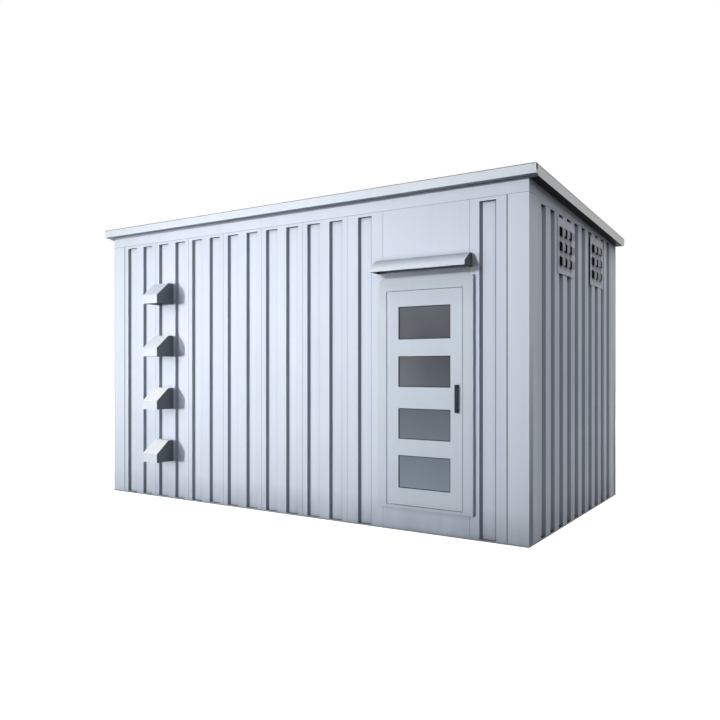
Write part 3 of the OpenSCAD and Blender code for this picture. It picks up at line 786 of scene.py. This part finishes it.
def air_screens():
    """Wire screens in the front air slots and over the inner ends of the side ducts, and dense dark
    insect gauze behind the louvres, as painted shade in their openings."""
    screens, shade_gauze = bmesh.new(), bmesh.new()
    wall_low, wall_high = span("wall_lintel")
    duct_inner, duct_outer = (corner.x for corner in span("wall_right"))
    lap = Vector((2, 0, 2)) * MM
    for opening in frame["record"]["physics"]["openings"]:
        low, high = (Vector(corner) for corner in opening["box_m"])
        if opening["name"].startswith("air_slot"):
            low.y = high.y = (wall_low.y + wall_high.y) / 2
            add_mesh_screen(screens, low - lap, high + lap, -NORTH, pitch=10 * MM, radius=0.7 * MM)
        if opening["name"].startswith("duct"):
            low.x = high.x = duct_inner + 4 * MM
            add_mesh_screen(screens, low, high, -EAST, pitch=20 * MM, radius=1.0 * MM)
            low.x = high.x = duct_outer - 12 * MM
            add_mesh_screen(shade_gauze, low, high, EAST, pitch=7 * MM, radius=2.0 * MM)
    piece("air_screens", screens, ZINC)
    piece("duct_shade_gauze", shade_gauze, RUBBER)


def plate_screws(count=5, inset=13 * MM):
    """Domed screws round the edge of the two side vent plates."""
    dome = [(5.0 * MM, 0.0), (4.6 * MM, 1.0 * MM), (3.2 * MM, 1.9 * MM), (1.4 * MM, 2.3 * MM)]
    plate, sunk = 5 * MM, 0.2 * MM
    face = span("wall_right")[1].x + plate - sunk
    bm = bmesh.new()
    for name in VENT_PLATES:
        low, high = span(name)
        for i in range(count):
            along = i / (count - 1)
            y = low.y + inset + (high.y - low.y - 2 * inset) * along
            z = low.z + inset + (high.z - low.z - 2 * inset) * along
            places = [(y, low.z + inset), (y, high.z - inset)]
            if 0 < i < count - 1:
                places += [(low.y + inset, z), (high.y - inset, z)]
            for across, up in places:
                add_turned(bm, Vector((face, across, up)), EAST, dome)
    piece("plate_screws", bm, FINISH["vent_plate"])


def gutter_straps(count=7):
    """Flat straps across the top of the rear gutter."""
    low, high = span("rear_gutter")
    near, near_top = low.y + 2 * MM, high.z - 26 * MM
    far, far_top = high.y - 7 * MM, high.z - 4 * MM
    strap = folded(22 * MM, 2 * MM, 0.6 * MM)
    bm = bmesh.new()
    for i in range(count):
        x = low.x + (high.x - low.x) * (i + 0.5) / count
        add_bar(bm, Vector((x, near, near_top)), Vector((x, far, far_top)), strap, EAST, UP)
    piece("gutter_straps", bm, FINISH["trim"])


def door_gasket():
    """Grey seal on the casing's stop, behind the leaf."""
    low, high = span("door_leaf")
    lock, top, hinge, pivot_room = high.x - 5 * MM, high.z - 5 * MM, low.x + 1 * MM, 20 * MM
    stop, hinge_stop = high.y + 5 * MM, high.y + 12 * MM
    bulb, hinge_bulb = crowned(9 * MM, 3.5 * MM), crowned(9 * MM, 3.0 * MM)
    bm = bmesh.new()
    add_bar(bm, Vector((lock, stop, low.z)), Vector((lock, stop, top)), bulb, EAST, -NORTH)
    add_bar(bm, Vector((low.x + pivot_room, stop, top)), Vector((lock, stop, top)), bulb, UP, -NORTH)
    add_bar(bm, Vector((hinge, hinge_stop, low.z)), Vector((hinge, hinge_stop, top)),
            hinge_bulb, EAST, -NORTH)
    piece("door_gasket", bm, GREY_RUBBER)


def window_beads():
    """Dark glazing beads outside and painted beads inside, round the four windows."""
    outer, inner = bmesh.new(), bmesh.new()
    leaf_back = span("door_leaf")[1].y
    glazing = [(0.0, 0.5 * MM), (0.0, -5.5 * MM), (3.0 * MM, -6.0 * MM), (7.0 * MM, -2.5 * MM),
               (7.5 * MM, 0.5 * MM)]
    for name in PANES:
        low, high = span(name)
        deep = leaf_back - high.y
        painted = [(0.0, -0.5 * MM), (0.0, deep - 1.5 * MM), (2.0 * MM, deep), (10 * MM, deep),
                   (14 * MM, deep - 8 * MM), (14 * MM, -0.5 * MM)]
        add_frame(outer, low, high, low.y, glazing)
        add_frame(inner, low, high, high.y, painted)
    piece("window_beads_outside", outer, RUBBER, DOOR)
    piece("window_beads_inside", inner, FINISH["door_paint"], DOOR)


def handle_plates():
    """Thin backing plates under the handle's feet, and a domed screw through the bar at each foot."""
    low, high = span("door_handle")
    sunk = 0.3 * MM
    face = span("door_leaf")[0].y + sunk
    middle = (low.x + high.x) / 2
    dome = [(6.0 * MM, -sunk), (5.6 * MM, 1.2 * MM), (4.0 * MM, 2.2 * MM), (1.6 * MM, 2.6 * MM)]
    plate = folded(27 * MM, 2.8 * MM, 1.0 * MM)
    foot_centre, inward, outward = 11 * MM, 16 * MM, 10 * MM
    bm = bmesh.new()
    for foot, away in ((low.z + foot_centre, -1), (high.z - foot_centre, 1)):
        near = Vector((middle, face, foot - away * inward))
        far = Vector((middle, face, foot + away * outward))
        add_bar(bm, near, far, plate, EAST, -NORTH)
        add_turned(bm, Vector((middle, low.y, foot)), -NORTH, dome)
    piece("handle_plates", bm, FINISH["handle"], DOOR)


def make_pieces():
    joint_seals()
    ground_shadow_strip()
    eaves_shadow_strip()
    roof_ribs()
    roof_screws()
    roof_edge_line()
    hood_joints()
    air_screens()
    plate_screws()
    gutter_straps()
    door_gasket()
    window_beads()
    handle_plates()


# ---------------------------------------------------------------- studio

def make_camera():
    camera = bpy.data.objects.new("camera", bpy.data.cameras.new("camera"))
    bpy.context.collection.objects.link(camera)
    camera.location = CAMERA_PLACE
    camera.rotation_euler = (math.pi / 2, 0.0, CAMERA_TURN)
    camera.data.sensor_width = CAMERA_SENSOR
    camera.data.lens = CAMERA_LENS
    camera.data.shift_x, camera.data.shift_y = CAMERA_SHIFT
    bpy.context.scene.camera = camera


def aim(name, data, target, towards, distance):
    """Hangs a lamp at a distance from its target and turns it to look there."""
    lamp = bpy.data.objects.new(name, data)
    target = Vector(target)
    lamp.location = target + Vector(towards).normalized() * distance
    lamp.rotation_euler = (target - lamp.location).to_track_quat("-Z", "Y").to_euler()
    bpy.context.collection.objects.link(lamp)
    return lamp


def far_spot(name, target, towards, energy, reach, taller=1.7, softness=3.0, distance=40.0):
    """A far, soft spot, taller than wide, whose patch has a half-width of reach at its target."""
    data = bpy.data.lights.new(name, "SPOT")
    data.energy = energy
    data.spot_size = 2.0 * math.atan(reach / distance)
    data.spot_blend = 1.0
    data.shadow_soft_size = softness
    aim(name, data, target, towards, distance).scale.y = taller


def soft_panel(name, target, towards, energy, size, distance=13.0):
    data = bpy.data.lights.new(name, "AREA")
    data.shape = "SQUARE"
    data.size = size
    data.energy = energy
    data.color = LAMP_TINT
    aim(name, data, target, towards, distance)


def make_lights():
    """Key lights from the left and for the door share the front. Panels fill the right and rear."""
    front = span("wall_front_left")[0].y
    door_end, rear_side = (2.6, 0.0, 1.5), (0.0, 1.5, 1.5)
    far_spot("key_left", (-2.6, front, 1.3), (-0.585, -0.81, 0.0), energy=110000, reach=2.6)
    far_spot("fill_left", (-2.3, front, 1.4), (-0.10, -0.96, 0.25), energy=3500, reach=2.6)
    far_spot("key_door", (2.0, front, 2.5), (-0.45, -0.94, 0.27), energy=68200, reach=2.8,
             taller=1.5, softness=3.5)
    soft_panel("right", door_end, (0.70, 0.10, 0.70), energy=115, size=6.0)
    soft_panel("high_right", door_end, (0.35, 0.12, 0.93), energy=359, size=5.0)
    soft_panel("rear", rear_side, (-0.25, 0.90, 0.35), energy=600, size=6.0)


def seen_directly(tree):
    """1 for camera, glossy and transmission rays, 0 for the rays that light the object."""
    path = tree.nodes.new("ShaderNodeLightPath")
    total = path.outputs["Is Camera Ray"]
    for name in ("Is Glossy Ray", "Is Transmission Ray"):
        add = tree.nodes.new("ShaderNodeMath")
        add.operation = "ADD"
        add.use_clamp = True
        tree.links.new(total, add.inputs[0])
        tree.links.new(path.outputs[name], add.inputs[1])
        total = add.outputs[0]
    return total


def seen_or_thrown(tree, thrown, seen, output):
    """Joins what lights the object and what is seen directly, and links them to the output node."""
    mix = tree.nodes.new("ShaderNodeMixShader")
    tree.links.new(seen_directly(tree), mix.inputs["Fac"])
    tree.links.new(thrown.outputs[0], mix.inputs[1])
    tree.links.new(seen.outputs[0], mix.inputs[2])
    tree.links.new(mix.outputs[0], tree.nodes.new(output).inputs["Surface"])


def white_world(zenith=0.78):
    """White where it is seen. Where it lights the object it fades from the zenith to the horizon."""
    world = bpy.data.worlds.new("studio")
    world.use_nodes = True
    bpy.context.scene.world = world
    tree = world.node_tree
    tree.nodes.clear()
    towards = tree.nodes.new("ShaderNodeTexCoord")
    split = tree.nodes.new("ShaderNodeSeparateXYZ")
    fade = tree.nodes.new("ShaderNodeMath")
    fade.operation = "MULTIPLY"
    fade.use_clamp = True
    fade.inputs[1].default_value = zenith
    dome = tree.nodes.new("ShaderNodeBackground")
    dome.inputs["Color"].default_value = SKY_TINT
    white = tree.nodes.new("ShaderNodeBackground")
    white.inputs["Color"].default_value = WHITE
    tree.links.new(towards.outputs["Generated"], split.inputs["Vector"])
    tree.links.new(split.outputs["Z"], fade.inputs[0])
    tree.links.new(fade.outputs["Value"], dome.inputs["Strength"])
    seen_or_thrown(tree, dome, white, "ShaderNodeOutputWorld")


def floor_finish(dim_grey=0.06, paper_grey=0.42, near=3.0, far=12.0, near_glow=0.88):
    """White paper floor: bright where it is seen, with the object's shadow, and dim in its light."""
    material = bpy.data.materials.new("studio_floor")
    material.use_nodes = True
    tree = material.node_tree
    tree.nodes.clear()
    dim, paper = tree.nodes.new("ShaderNodeBsdfDiffuse"), tree.nodes.new("ShaderNodeBsdfDiffuse")
    for shade, grey in ((dim, dim_grey), (paper, paper_grey)):
        shade.inputs["Color"].default_value = (grey, grey, grey, 1.0)
    place = tree.nodes.new("ShaderNodeNewGeometry")
    away = tree.nodes.new("ShaderNodeVectorMath")
    away.operation = "LENGTH"
    brighten = tree.nodes.new("ShaderNodeMapRange")
    brighten.interpolation_type = "SMOOTHSTEP"
    settings = (("From Min", near), ("From Max", far), ("To Min", near_glow), ("To Max", 1.0))
    for socket, value in settings:
        brighten.inputs[socket].default_value = value
    glow = tree.nodes.new("ShaderNodeEmission")
    bright = tree.nodes.new("ShaderNodeAddShader")
    tree.links.new(place.outputs["Position"], away.inputs[0])
    tree.links.new(away.outputs["Value"], brighten.inputs["Value"])
    tree.links.new(brighten.outputs["Result"], glow.inputs["Strength"])
    tree.links.new(paper.outputs[0], bright.inputs[0])
    tree.links.new(glow.outputs[0], bright.inputs[1])
    seen_or_thrown(tree, dim, bright, "ShaderNodeOutputMaterial")
    return material


def studio_floor(half=40.0):
    mesh = bpy.data.meshes.new("studio_floor")
    corners = [(-half, -half, 0), (half, -half, 0), (half, half, 0), (-half, half, 0)]
    mesh.from_pydata(corners, [], [(0, 1, 2, 3)])
    mesh.materials.append(floor_finish())
    floor = bpy.data.objects.new("studio_floor", mesh)
    floor.location.z = cad_box[0].z - 0.5 * MM
    bpy.context.collection.objects.link(floor)


def make_studio():
    bpy.context.scene.view_settings.view_transform = "Standard"
    make_camera()
    make_lights()
    white_world()
    studio_floor()


dress_nodes()
make_pieces()
make_studio()
